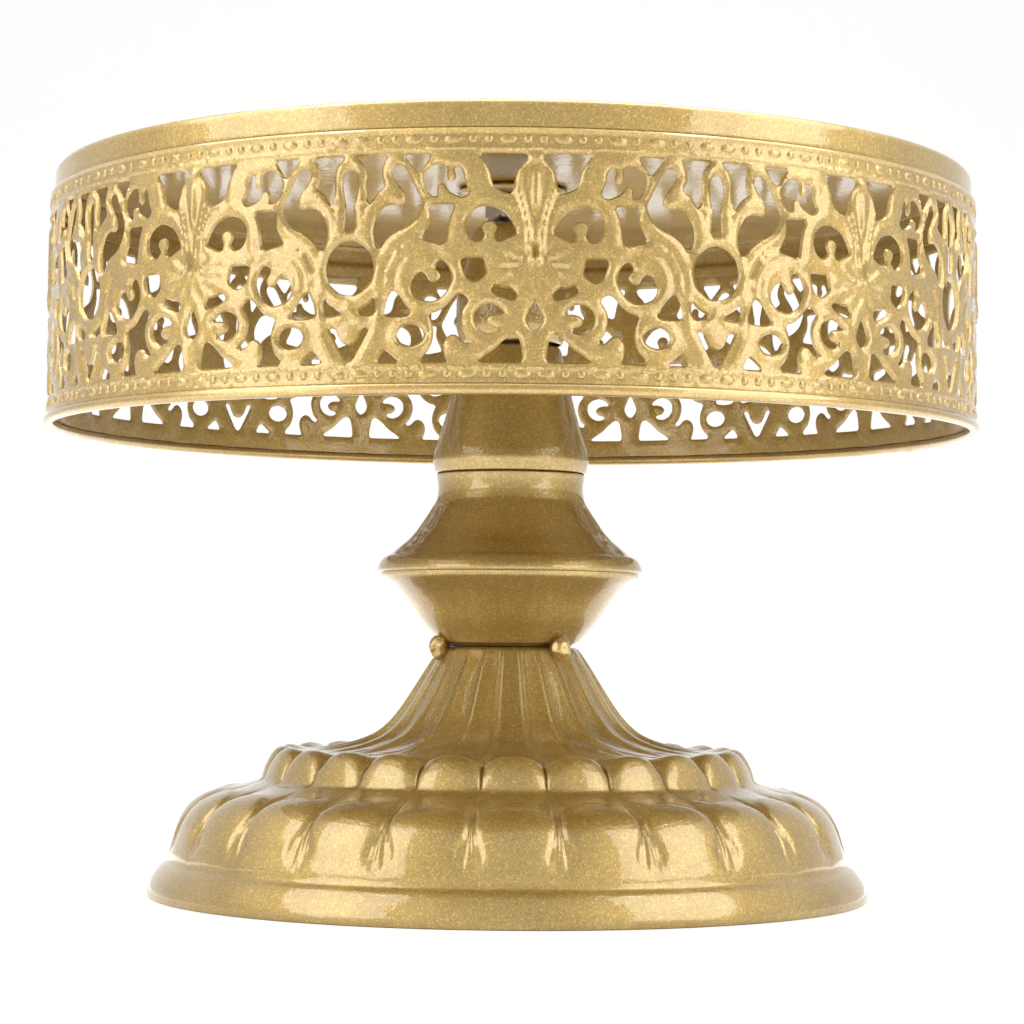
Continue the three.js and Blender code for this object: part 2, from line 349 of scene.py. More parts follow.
# Openings of half a repeat, from the palmette's axis (0 degrees) to the lily's
# (20 degrees), as [degrees, share of the radius up].
WHOLE_HOLES = [
    [[1.1, 1.427], [5.9, 1.427], [4.9, 1.397], [4.6, 1.376], [4.2, 1.364], [2.7, 1.354],
     [2.4, 1.364], [2.2, 1.381], [1.9, 1.397], [1.2, 1.409], [0.9, 1.419]],
    [[7, 1.357], [7.5, 1.374], [7.7, 1.393], [8.2, 1.405], [8.65, 1.398], [8.4, 1.386],
     [8.7, 1.376], [9.25, 1.377], [9.45, 1.389], [9.35, 1.401], [10.1, 1.409], [11, 1.405],
     [11.9, 1.39], [11.9, 1.374], [11.4, 1.357], [10.9, 1.349], [10.35, 1.352], [10.5, 1.364],
     [10.1, 1.373], [9.5, 1.37], [9.3, 1.36], [8.5, 1.352], [7.6, 1.347]],
    [[11.2, 1.426], [14, 1.426], [12.4, 1.393]],
    [[14.8, 1.408], [15.3, 1.4045], [15.4, 1.393], [15, 1.381], [14.6, 1.371], [14, 1.357],
     [13.8, 1.345], [14, 1.335], [14.6, 1.333], [15.6, 1.335], [16.4, 1.328], [17.1, 1.309],
     [17.4, 1.29], [17.2, 1.266], [16.7, 1.254], [16, 1.271], [15, 1.285], [13.7, 1.295],
     [12.7, 1.309], [12.2, 1.326], [12, 1.338], [12.4, 1.352], [13, 1.3735], [13.7, 1.395],
     [14.2, 1.405]],
    [[16, 1.426], [19.3, 1.426], [18.45, 1.409], [18.1, 1.39], [18.2, 1.371], [17.9, 1.338],
     [17.5, 1.347], [16.8, 1.362], [16.1, 1.369], [16.5, 1.385], [16.5, 1.402], [16.1, 1.419]],
    [[8.6, 1.333], [11.2, 1.333], [11.15, 1.316], [11.3, 1.2995], [12, 1.271], [9.6, 1.263],
     [9.3, 1.29], [9, 1.314]],
    [[2, 1.283], [2.5, 1.302], [3.3, 1.319], [4.4, 1.328], [5.5, 1.3305], [6.6, 1.323],
     [7.3, 1.309], [7.4, 1.29], [7, 1.274], [6.3, 1.2665], [5.75, 1.268], [5.3, 1.279],
     [5.75, 1.291], [5.35, 1.303], [4.5, 1.304], [4, 1.292], [4.35, 1.279], [4.1, 1.267],
     [3.3, 1.27], [2.2, 1.279]],
    [[5.5, 1.235], [7.8, 1.235], [7.65, 1.218], [7.4, 1.204], [6.7, 1.1945], [6.15, 1.1935],
     [5.3, 1.204], [5.2, 1.2136], [5.4, 1.223]],
    [[1.9, 1.1706], [2.5, 1.181], [3, 1.18], [3.7, 1.184], [4.4, 1.186], [4.65, 1.175],
     [3.55, 1.166], [2.3, 1.159], [2.05, 1.1635]],
    [[3.2, 1.135], [3.7, 1.146], [4.6, 1.1525], [5.6, 1.149], [6.3, 1.137], [6.35, 1.119],
     [5.8, 1.105], [4.9, 1.098], [4, 1.101], [3.9, 1.108], [4.7, 1.111], [5.2, 1.12], [4.9, 1.13],
     [4.1, 1.1345]],
    [[1.4, 1.0475], [5.9, 1.0475], [5.2, 1.0585], [4.2, 1.07], [3.3, 1.085], [2.3, 1.0976],
     [1.7, 1.092], [1.4, 1.07]],
    [[8.8, 1.199], [9.1, 1.218], [9.7, 1.232], [10.4, 1.2295], [10.5, 1.216], [9.95, 1.206],
     [10.3, 1.194], [11.1, 1.192], [11.5, 1.204], [12, 1.212], [12.7, 1.206], [13.1, 1.1945],
     [13.2, 1.18], [12.7, 1.166], [11.75, 1.159], [10.8, 1.157], [9.8, 1.166], [9.2, 1.18]],
    [[13.3, 1.14], [14.35, 1.166], [15.2, 1.178], [15.85, 1.156], [16, 1.135], [14.8, 1.13],
     [13.5, 1.1325]],
    [[7.8, 1.1716], [8.5, 1.166], [9.2, 1.152], [10.1, 1.14], [11.2, 1.133], [10.9, 1.118],
     [10.7, 1.101], [10.8, 1.085], [11.2, 1.068], [11.9, 1.056], [11.9, 1.0475], [9.3, 1.0475],
     [9.5, 1.056], [9.7, 1.075], [9.4, 1.0895], [8.75, 1.097], [8.1, 1.094], [7.65, 1.085],
     [7.1, 1.08], [6.8, 1.086], [7.4, 1.097], [7.8, 1.118], [7.8, 1.1325], [7.5, 1.147],
     [7, 1.159]],
    [[11.7, 1.096], [12.2, 1.11], [13.2, 1.1155], [14.2, 1.11], [14.7, 1.096], [14.2, 1.082],
     [13.2, 1.0765], [12.2, 1.082]],
    [[14.5, 1.0475], [16.8, 1.0475], [16, 1.068]],
    [[17.15, 1.166], [17.45, 1.158], [18.2, 1.149], [18.9, 1.143], [18.9, 1.1365], [18.2, 1.134],
     [17.4, 1.1325], [17.1, 1.146]],
]

# Openings that the lily's axis cuts, from the axis round to the axis again.
LILY_AXIS_HOLES = [
    [[20, 1.402], [19.45, 1.397], [19.18, 1.38], [19.3, 1.358], [19.55, 1.335], [19.5, 1.31],
     [19.43, 1.29], [20, 1.289]],
    [[20, 1.2707], [18.9, 1.266], [17.75, 1.248], [17.32, 1.2207], [17.75, 1.193], [18.9, 1.175],
     [20, 1.1707]],
    [[20, 1.079], [19.3, 1.083], [18.8, 1.096], [18.5, 1.109], [17.8, 1.1105], [18.3, 1.092],
     [19, 1.07], [19.6, 1.052], [20, 1.0475]],
]
PALMETTE_AXIS_HOLES = [
    [[0, 1.159], [0.45, 1.145], [0.9, 1.125], [0.55, 1.111], [0, 1.104]],
]

# Raised lines: [height, half width in mm, points in degrees and shares of the radius].
RIDGES = [
    [0.7, 0.65, [[0, 1.418], [1, 1.413], [1.75, 1.4], [2.1, 1.38], [1.9, 1.36], [1.4, 1.335],
     [0.95, 1.3], [0.65, 1.265], [0.4, 1.228]]],
    [0.8, 0.7, [[0, 1.39], [0.05, 1.37], [0, 1.335]]],
    [0.45, 0.5, [[2.3, 1.27], [1.4, 1.295], [1.9, 1.318], [2.9, 1.338], [4.4, 1.349],
     [5.9, 1.347], [7.2, 1.335], [8, 1.312], [8.3, 1.285], [8.5, 1.26]]],
    [0.45, 0.5, [[0.75, 1.178], [1.1, 1.15], [1.5, 1.125], [1.15, 1.095], [0.75, 1.05]]],
    [0.5, 0.6, [[8.3, 1.225], [8.1, 1.2], [8.45, 1.175], [9.3, 1.156], [10.7, 1.146],
     [12.2, 1.15], [13.4, 1.163], [14.1, 1.185], [14.2, 1.21], [13.5, 1.231], [12.2, 1.242],
     [11, 1.236], [10.9, 1.222]]],
    [0.6, 0.6, [[8.8, 1.247], [10.3, 1.259], [12, 1.266], [13.4, 1.262], [14.6, 1.247],
     [15.4, 1.224], [15.8, 1.195], [15.75, 1.165]]],
    [0.6, 0.65, [[11.6, 1.345], [11.7, 1.32], [12.7, 1.294], [14, 1.279], [15.3, 1.262],
     [16.3, 1.235], [16.8, 1.2], [16.6, 1.16], [16.6, 1.12], [17.2, 1.095], [17.9, 1.07],
     [18.5, 1.05]]],
    [0.55, 0.6, [[11.1, 1.096], [11.6, 1.117], [13.2, 1.127], [14.8, 1.117], [15.3, 1.096],
     [14.8, 1.075], [13.2, 1.065], [11.6, 1.075], [11.1, 1.096]]],
    [0.55, 0.6, [[20, 1.283], [18.6, 1.276], [17.1, 1.253], [16.8, 1.2207], [17.1, 1.188],
     [18.6, 1.163], [20, 1.157]]],
    [0.6, 0.6, [[18.05, 1.275], [18.1, 1.305], [17.6, 1.335], [16.8, 1.352], [15.8, 1.358],
     [14.9, 1.351], [14.5, 1.346]]],
    [0.5, 0.5, [[20, 1.423], [19.3, 1.413], [18.75, 1.395], [18.7, 1.37], [18.8, 1.34],
     [18.8, 1.305], [18.7, 1.28]]],
    [0.45, 0.5, [[12.7, 1.38], [13.3, 1.4], [14.2, 1.416], [15.4, 1.414], [15.95, 1.4],
     [15.8, 1.38], [15.4, 1.372]]],
    [0.45, 0.5, [[7.2, 1.39], [7.9, 1.408], [9.2, 1.415], [10.8, 1.414], [12, 1.403],
     [12.4, 1.385], [12, 1.36], [11.4, 1.345]]],
    [0.4, 0.5, [[5.6, 1.4], [5.1, 1.372], [5.6, 1.354], [6.5, 1.345]]],
    [0.5, 0.6, [[2.3, 1.13], [2.8, 1.15], [4.3, 1.164], [5.8, 1.16], [6.9, 1.142], [7.05, 1.118],
     [6.5, 1.097], [5.2, 1.084], [3.8, 1.087]]],
    [0.45, 0.5, [[3.6, 1.122], [4.5, 1.124]]],
    [0.45, 0.6, [[4.4, 1.075], [5.8, 1.066], [7.2, 1.066], [8.5, 1.077], [9, 1.07]]],
    [0.5, 0.55, [[20, 1.148], [19.4, 1.135], [18.6, 1.122], [17.4, 1.12]]],
]

# Pressed-in lines, in the same form.
CREASES = [
    [0.35, 0.6, [[1.05, 1.395], [1.15, 1.37], [0.75, 1.345], [0.4, 1.31]]],
    [0.35, 0.6, [[0, 1.31], [0, 1.24]]],
    [0.3, 0.55, [[2.2, 1.348], [1.9, 1.33], [1.5, 1.305], [1.2, 1.27], [0.95, 1.235]]],
    [0.35, 0.4, [[13.9, 1.252], [15, 1.232], [15.25, 1.19], [14.9, 1.17]]],
    [0.3, 0.4, [[12.4, 1.254], [13.8, 1.243], [14.8, 1.21]]],
    [0.3, 0.4, [[12, 1.285], [13.4, 1.272], [14.8, 1.255], [15.9, 1.222], [16.2, 1.18]]],
    [0.3, 0.4, [[18.4, 1.28], [18.3, 1.32], [18.3, 1.35]]],
    [0.25, 0.4, [[2.4, 1.345], [4.2, 1.361], [6.2, 1.358], [8, 1.342]]],
]

SHELL_CENTRE = (0, 1.222)
SHELL_REACH = (4.4, 0.047)
SHELL_FLUTES = 11

# Heights of the rows of points across the two plain borders.
BORDER_ROWS_TOP = [178.9, 179.3, 179.6, 179.9, 180.25, 180.6, 182.7, 183.1, 183.45, 183.75,
                   184.0]
BORDER_ROWS_BOTTOM = [126.85, 127.1, 129.05, 129.35, 129.65, 129.95, 130.3]
# Raised lines round the borders: [z, height, half width].
BORDER_LINES = [[183.75, 0.4, 0.35], [179.6, 0.35, 0.35], [129.55, 0.35, 0.32],
                [126.6, 0.3, 0.3]]

# Rows of beads: small round ones (o) and long ones (O), by half length.
BEAD_ROW_TOP = 181.65
BEAD_ROW_BOTTOM = 128.05
BEAD_R = 1.0
BEAD_OVAL = 1.9
BEAD_MIX_TOP = "oOooOoOooO"
BEAD_MIX_BOTTOM = "OooOoOoooO"

LACE_BOTTOM = WIRE_TOP          # the lace rests on the hoop
FIELD_BOTTOM = 131.2            # the pierced field, between the borders
FIELD_TOP = 178.6
FLAT_R = 123.3                  # radius at which the pattern is laid out flat
HALF_WIDTH = math.radians(HALF_REPEAT) * FLAT_R
OUTLINE_STEP = 0.9
OUTLINE_SOFTENING = 0.9
LACE_GRID = 1.0
AXIS_CLEARANCE = 0.25           # how near to an axis a loose point may come
RIM_WIDTH = 0.42                # the rounded edge round every opening
SHOULDER = 0.95                 # a second row of points, inside that edge

# The palmette's leaf and shell have finer relief: half width, lowest and highest z.
PALMETTE_HEART = [6.2, 152.5, 178.2]
HEART_STEP_X = 0.45
HEART_STEP_Z = 0.75

# How far each kind of relief stands out.
RIM_FALL = 0.6
PILLOW = 0.2
RIDGE_SHARE = 0.72
SHELL_RISE = 0.3
BEAD_RISE = 0.5
BACK_HOLLOW = 0.3


def flat(points):
    """From [degrees, share of the radius] to flat millimetres."""
    points = np.asarray(points, float)
    return np.stack([np.radians(points[:, 0]) * FLAT_R, points[:, 1] * RADIUS], axis=1)


def cut_at(loop, axis):
    """The part of a closed loop between the two places where it crosses an axis."""
    inside = loop[:, 0] < axis if axis > 0 else loop[:, 0] > axis
    first = next(i for i in range(len(loop)) if inside[i] and not inside[i - 1])
    loop = np.roll(loop, -first, axis=0)
    inside = np.roll(inside, -first)
    count = int(np.argmin(inside))
    kept = loop[:count]

    def crossing(a, b):
        share = (axis - a[0]) / (b[0] - a[0])
        return np.array([axis, a[1] + share * (b[1] - a[1])])

    return np.vstack([crossing(loop[-1], loop[0]), kept, crossing(loop[count - 1], loop[count])])


def sharpened(points):
    """The closed outline with its corners pushed out, to make up for the softening."""
    pull = points - (np.roll(points, 1, axis=0) + np.roll(points, -1, axis=0)) / 2
    length = np.hypot(pull[:, 0], pull[:, 1])[:, None]
    return points + pull * np.minimum(0.2, 0.35 / np.maximum(length, 1e-6))


def hole_outlines():
    """Closed outlines, and outlines that begin and end on an axis, of one half repeat."""
    whole = []
    for points in WHOLE_HOLES:
        loop = softened(sharpened(flat(points)), OUTLINE_SOFTENING, closed=True)
        whole.append(evened(loop, OUTLINE_STEP, closed=True))
    cut = []
    for holes, axis in ((LILY_AXIS_HOLES, HALF_WIDTH), (PALMETTE_AXIS_HOLES, 0.0)):
        for points in holes:
            half = flat(points)
            other = half[1:-1][::-1] * [-1, 1] + [2 * axis, 0]
            loop = sharpened(np.vstack([half, other]))
            loop = softened(loop, OUTLINE_SOFTENING, closed=True)
            loop = evened(loop, 0.2, closed=True)
            cut.append(evened(cut_at(loop, axis), OUTLINE_STEP))
    return whole, cut


def inside_any(points, polygons):
    """Which points lie in one of the polygons."""
    result = np.zeros(len(points), bool)
    x, y = points[:, 0], points[:, 1]
    for polygon in polygons:
        inside = np.zeros(len(points), bool)
        for (x0, y0), (x1, y1) in zip(polygon, np.roll(polygon, -1, axis=0)):
            if abs(y1 - y0) < 1e-12:
                continue
            crosses = (y0 > y) != (y1 > y)
            inside ^= crosses & (x < (x1 - x0) * (y - y0) / (y1 - y0) + x0)
        result |= inside
    return result


def distance_to(points, lines):
    """Distance from each point to the nearest of several open lines."""
    nearest = np.full(len(points), 1e9)
    for line in lines:
        for a, b in zip(line, line[1:]):
            run = b - a
            share = np.clip(((points - a) @ run) / max(run @ run, 1e-12), 0, 1)
            gap = points - a - share[:, None] * run
            nearest = np.minimum(nearest, np.hypot(gap[:, 0], gap[:, 1]))
    return nearest


def mirrored_lines(line):
    """The line and its reflections in both axes."""
    return [line, line * [-1, 1], line * [-1, 1] + [2 * HALF_WIDTH, 0]]


def bead_places(row_z, mix):
    """Centres and half lengths of the beads of one border in half a repeat."""
    lengths = [BEAD_OVAL if kind == "O" else BEAD_R for kind in mix]
    gap = (HALF_WIDTH - 2 * sum(lengths)) / len(lengths)
    places = []
    x = gap / 2
    for half_length in lengths:
        places.append((x + half_length, row_z, half_length))
        x += 2 * half_length + gap
    return places


def bead_share(points, beads):
    """For each point, how far out it is in the nearest bead: 0 in its middle, 1 at its edge."""
    share = np.full(len(points), 9.0)
    for x, z, half_length in beads:
        share = np.minimum(share, np.hypot((points[:, 0] - x) / half_length,
                                           (points[:, 1] - z) / BEAD_R))
    return share


def near_line(points, line, width):
    """How near each point is to a drawn line: 1 on it, fading out over its width."""
    near = distance_to(points, mirrored_lines(softened(flat(line), 3, 3)))
    return np.exp(-(near / width) ** 2)


def lace_height(points, edges, beads):
    """How far the front of the lace stands out from a flat strip's, at flat points."""
    x, z = points[:, 0], points[:, 1]
    gap = distance_to(points, edges)
    border = smooth_step((z - 178.4) / 1.0) + smooth_step((130.9 - z) / 1.0)
    height = -RIM_FALL * np.clip(1 - gap / RIM_WIDTH, 0, 1)
    height += PILLOW * (1 - np.exp(-(gap / 1.3) ** 2)) * (1 - border)
    raised = np.zeros(len(points))
    for amount, width, line in RIDGES:
        raised = np.maximum(raised, amount * near_line(points, line, width))
    for amount, width, line in CREASES:
        raised -= amount * near_line(points, line, width)
    height += raised * smooth_step((gap - RIM_WIDTH) / 0.45) * RIDGE_SHARE
    side = (np.degrees(x / FLAT_R) - SHELL_CENTRE[0]) / SHELL_REACH[0]
    rise = (z / RADIUS - SHELL_CENTRE[1]) / SHELL_REACH[1]
    out = np.hypot(side, rise)
    fan = np.cos(SHELL_FLUTES * np.arctan2(side, -rise))
    shell = smooth_step((out - 0.2) / 0.3) * smooth_step((1.1 - out) / 0.25)
    height += SHELL_RISE * fan * shell
    for line_z, amount, width in BORDER_LINES:
        height += amount * np.exp(-((z - line_z) / width) ** 2)
    share = bead_share(points, beads)
    dome = np.sqrt(np.clip(1 - share ** 2, 0, 1))
    height += np.where(share < 1, BEAD_RISE * dome, 0)
    return height


class Drawing:
    """Points of a flat drawing, with the lines that its triangles must keep to."""

    def __init__(self):
        self.points = []
        self.lines = []

    def add(self, line, loop=False):
        first = len(self.points)
        last = first + len(line) - 1
        self.points.extend(line)
        self.lines.extend((i, i + 1) for i in range(first, last))
        if loop:
            self.lines.append((last, first))


def axis_line(axis, cut, heights):
    """Points up one axis of the pattern, at the given heights and at the cut openings."""
    line = np.stack([np.full(len(heights), axis), heights], axis=1)
    ends = [row[[0, -1]] for row in cut if abs(row[0, 0] - axis) < 1e-6]
    if ends:
        ends = np.vstack(ends)
        far = np.array([np.abs(ends[:, 1] - z).min() for z in heights])
        line = np.vstack([line[far > AXIS_CLEARANCE], ends])
    return line[np.argsort(line[:, 1])]


def patch_outline(whole, cut, across):
    """The openings and the four sides of half a repeat."""
    drawing = Drawing()
    for line in whole:
        drawing.add(line, loop=True)
    for line in cut:
        drawing.add(line)
    heights = np.unique(np.concatenate([
        [LACE_BOTTOM, BAND_TOP], BORDER_ROWS_BOTTOM, BORDER_ROWS_TOP,
        np.arange(FIELD_BOTTOM, FIELD_TOP, LACE_GRID)]))
    for axis in (0.0, HALF_WIDTH):
        drawing.add(axis_line(axis, cut, heights))
    for z in (LACE_BOTTOM, BAND_TOP):
        row = np.stack([across, np.full(len(across), z)], axis=1)
        drawing.add(np.vstack([[0, z], row, [HALF_WIDTH, z]]))
    return drawing


def beside_edges(lines, edges, polygons):
    """Points beside the openings' edges: along the rounded rim and along its shoulder."""
    loops = []
    for line in lines:
        run = np.gradient(line, axis=0)
        run = run / np.hypot(run[:, 0], run[:, 1])[:, None]
        normal = np.stack([-run[:, 1], run[:, 0]], axis=1)
        for reach in (RIM_WIDTH, -RIM_WIDTH, SHOULDER, -SHOULDER):
            loop = line + reach * normal
            loops.append(loop[distance_to(loop, edges) > 0.92 * abs(reach)])
    loops = np.vstack(loops)
    return loops[~inside_any(loops, polygons)]


def field_grid(edges, polygons, loops):
    """A staggered grid over the pierced field, closer together in the palmette's heart."""
    columns = np.arange(LACE_GRID / 2, HALF_WIDTH, LACE_GRID)
    levels = np.arange(FIELD_BOTTOM, FIELD_TOP, LACE_GRID)
    grid = np.array([[x + LACE_GRID / 4 * (-1) ** i, z] for i, z in enumerate(levels)
                     for x in columns])
    wide, lowest, highest = PALMETTE_HEART
    in_heart = (grid[:, 0] < wide) & (grid[:, 1] > lowest) & (grid[:, 1] < highest)
    heart = np.array([[x, z] for x in np.arange(HEART_STEP_X, wide, HEART_STEP_X)
                      for z in np.arange(lowest, highest, HEART_STEP_Z)])
    grid = np.vstack([grid[~in_heart], heart])
    clear = distance_to(grid, edges) > RIM_WIDTH + 0.28
    grid = grid[clear & ~inside_any(grid, polygons)]
    apart = np.hypot(*(grid[:, None] - loops[None]).transpose(2, 0, 1)).min(axis=1)
    return grid[apart > RIM_WIDTH]


def bead_domes(beads):
    """Rings of points over each bead and just outside it."""
    domes = []
    for x, z, half_length in beads:
        domes.append([x, z])
        for share, count in ((0.45, 7), (0.8, 11), (1.0, 14), (1.18, 14)):
            for k in range(count):
                turn = 2 * math.pi * k / count
                domes.append([x + share * half_length * math.cos(turn),
                              z + share * BEAD_R * math.sin(turn)])
    domes = np.array(domes)
    return domes[(domes[:, 1] > LACE_BOTTOM + 0.1) & (domes[:, 1] < BAND_TOP - 0.1)]


def off_axes(points):
    """The points that keep clear of both axes."""
    x = points[:, 0]
    return points[(x > AXIS_CLEARANCE) & (x < HALF_WIDTH - AXIS_CLEARANCE)]


def triangles(drawing, extra, polygons):
    """Triangles over the drawing and the extra points, without those in the openings."""
    every = np.vstack([np.array(drawing.points), extra])
    found = delaunay_2d_cdt([Vector(p) for p in every], drawing.lines, [], 0, 1e-4)
    placed = np.array([list(v) for v in found[0]])
    faces = np.array(found[2])
    faces = faces[~inside_any(placed[faces].mean(axis=1), polygons)]
    return placed, faces


def lace_patch():
    """One half repeat: flat points and triangles of the front and the back, how far the
    front stands out at each point, and how far the back is pressed out."""
    whole, cut = hole_outlines()
    closed = [np.vstack([line, line[:1]]) for line in whole]
    edges = [copy for line in closed + cut for copy in mirrored_lines(line)]
    polygons = whole + cut
    beads = bead_places(BEAD_ROW_TOP, BEAD_MIX_TOP)
    beads += bead_places(BEAD_ROW_BOTTOM, BEAD_MIX_BOTTOM)
    across = np.linspace(0, HALF_WIDTH, 32)[1:-1]
    drawing = patch_outline(whole, cut, across)

    loops = beside_edges(closed + cut, edges, polygons)
    grid = field_grid(edges, polygons, loops)
    border = np.array([[x, z] for z in BORDER_ROWS_BOTTOM + BORDER_ROWS_TOP for x in across])
    border = border[distance_to(border, edges) > 0.4]
    border = border[bead_share(border, beads) > 1.25]
    inner = off_axes(np.vstack([loops, grid, border, bead_domes(beads)]))

    back_grid = np.array([[x, z] for x in np.arange(2, HALF_WIDTH, 3.4)
                          for z in np.arange(128, 183, 3.4)])
    back_grid = back_grid[(distance_to(back_grid, edges) > 0.9)
                          & ~inside_any(back_grid, polygons)]

    front, front_faces = triangles(drawing, inner, polygons)
    back_points = np.vstack([back_grid, off_axes(loops)[::2]])
    back, back_faces = triangles(drawing, back_points, polygons)
    height = lace_height(front, edges, beads)
    hollow = BACK_HOLLOW * np.exp(-distance_to(back, edges) / BACK_HOLLOW)
    return front, front_faces, back, back_faces, height, hollow


def roll_up(points, depth, turn, side):
    """Flat points on the band's cone, after a turn, mirrored when side is -1."""
    angle = np.degrees(points[:, 0] / FLAT_R) * side + turn
    margin = math.degrees(SEAM_GAP / BAND_INNER_R / 2)
    angle = np.radians(np.clip(angle, margin, 360 - margin) + SEAM_ANGLE)
    z = points[:, 1]
    flare = BAND_FLARE * (BAND_TOP - z) / (BAND_TOP - BAND_BOTTOM)
    r = BAND_INNER_R + flare + depth
    return np.stack([r * np.sin(angle), -r * np.cos(angle), z], axis=1)


def open_edges(faces):
    """Edges that only one triangle has, in that triangle's direction."""
    seen = {}
    for a, b, c in faces.tolist():
        for edge in ((a, b), (b, c), (c, a)):
            seen[edge] = True
    return [edge for edge in seen if (edge[1], edge[0]) not in seen]


def lace_band():
    front, front_faces, back, back_faces, height, hollow = lace_patch()
    back_at = {(round(x, 3), round(z, 3)): i for i, (x, z) in enumerate(back)}
    on_axis = (front[:, 0] < 1e-4) | (front[:, 0] > HALF_WIDTH - 1e-4)
    walls = []
    seam_walls = []
    for a, b in open_edges(front_faces):
        behind = [back_at[round(front[i, 0], 3), round(front[i, 1], 3)] for i in (b, a)]
        if not (on_axis[a] and on_axis[b]):
            walls.append((a, b, *behind))
        elif front[a, 0] < 1e-4 and front[b, 0] < 1e-4:
            seam_walls.append((a, b, *behind))
    points = []
    faces = []
    for k in range(2 * REPEATS):
        side = 1 if k % 2 == 0 else -1
        turn = HALF_REPEAT * (k + k % 2)
        low = len(points)
        high = low + len(front)
        points.extend(roll_up(front, BAND_SHEET + height, turn, side).tolist())
        points.extend(roll_up(back, hollow, turn, side).tolist())
        faces.extend([low + i for i in face] for face in front_faces.tolist())
        faces.extend([high + i for i in face] for face in back_faces.tolist())
        at_seam = k in (0, 2 * REPEATS - 1)
        for a, b, c, d in walls + (seam_walls if at_seam else []):
            faces.append([low + a, low + b, high + c, high + d])
    return mesh_piece("lace_apron", points, faces, crease=42)


# ------------------------------------------------------------------- wire ring

WELD_ANGLE = 112
WELD_LENGTH = 2.6
WELD_SWELL = 0.22
WIRE_DENTS = 0.02
WIRE_COLUMNS = 540
WIRE_ROWS = 18


def wire_hoop():
    """The hoop under the lace, with the lump where its ends are butted."""
    wire_r = (WIRE_TOP - WIRE_BOTTOM) / 2
    middle_r = WIRE_OUTER_R - wire_r
    middle_z = (WIRE_TOP + WIRE_BOTTOM) / 2
    rows = []
    for j in range(WIRE_ROWS):
        section = 2 * math.pi * j / WIRE_ROWS
        row = []
        for i in range(WIRE_COLUMNS):
            angle = 360 * i / WIRE_COLUMNS
            from_weld = math.radians(angle - WELD_ANGLE) * middle_r
            swell = WELD_SWELL * math.exp(-(from_weld / WELD_LENGTH) ** 2)
            dent = WIRE_DENTS * noise.noise(Vector((angle * 0.35, section, 3)))
            radius = wire_r * (1 + swell + dent)
            row.append(around(angle, min(middle_r + radius * math.cos(section), WIRE_OUTER_R),
                              middle_z + radius * math.sin(section)))
        rows.append(row)
    return mesh_piece("wire_hoop", *rings(rows, True))


# ------------------------------------------------------------------------ stem

STEM_SIDES = 192

# Outside lines of the stampings, upwards, as [radius, z]. The bowl's starts at its hole.
CUP_LINE = [
    [13.2, 148], [13.55, 148], [14.9, 151.6], [15.25, 153.2], [15.2, 156], [15.1, 160],
    [14.85, 163.5], [14.3, 166], [13.2, 169], [12.3, 172], [12, 175], [11.7, 177.6],
    [10.6, 179.6], [8.6, 180.45], [ROD_HOLE_R, 180.5],
]
BELL_LINE = [
    [19.9, 113], [20.3, 113], [21.1, 116.3], [21.1, 116.5], [21, 117.3], [20.6, 119],
    [19.6, 122.2], [18.3, 126.5], [17.1, 130.8], [16.05, 135], [15, 139], [14.2, 142.5],
    [13.7, 145.3], [13.1, 147], [11.8, 147.7], [ROD_HOLE_R, 147.7],
]
SKIRT_LINE = [
    [35.3, 86.2], [35.6, 86.5], [35.6, 87.4], [35.2, 88.6], [34.5, 89.7], [33.6, 90.45],
    [32.9, 90.6], [32.3, 90.9], [30.1, 92.9], [27.5, 95], [25.5, 97.2], [24, 99.4], [22.5, 101.5],
    [21.2, 103.6], [20.3, 104.9], [19.8, 106.4], [19.6, 108.6], [19.75, 111], [20.05, 112.4],
    [19.9, 112.8], [18.4, 112.8], [ROD_HOLE_R, 112.8],
]
BOWL_LINE = [
    [ROD_HOLE_R, 66.32], [16.6, 66.32], [17.3, 67.15], [18.6, 67.2], [19.4, 67.6], [20.8, 69.2],
    [22.8, 71.4], [24.5, 73.5], [25.9, 75.6], [27.4, 77.8], [29.1, 80], [31, 81.9], [32.6, 83.1],
    [34, 84.2], [34.7, 85], [34.8, 86.1],
]


def stamping(name, line, node):
    """A stem stamping, moved up or down so that its top is at its node's."""
    high = node_box(node)[1]
    line = np.array(line, float)
    line[:, 1] += high - line[:, 1].max()
    section = sheet_line(line, STEM_SHEET, reach=1.2, step=0.45, inside_step=1.6)
    return lathe(name, section, STEM_SIDES)


# ------------------------------------------------------------------------ foot

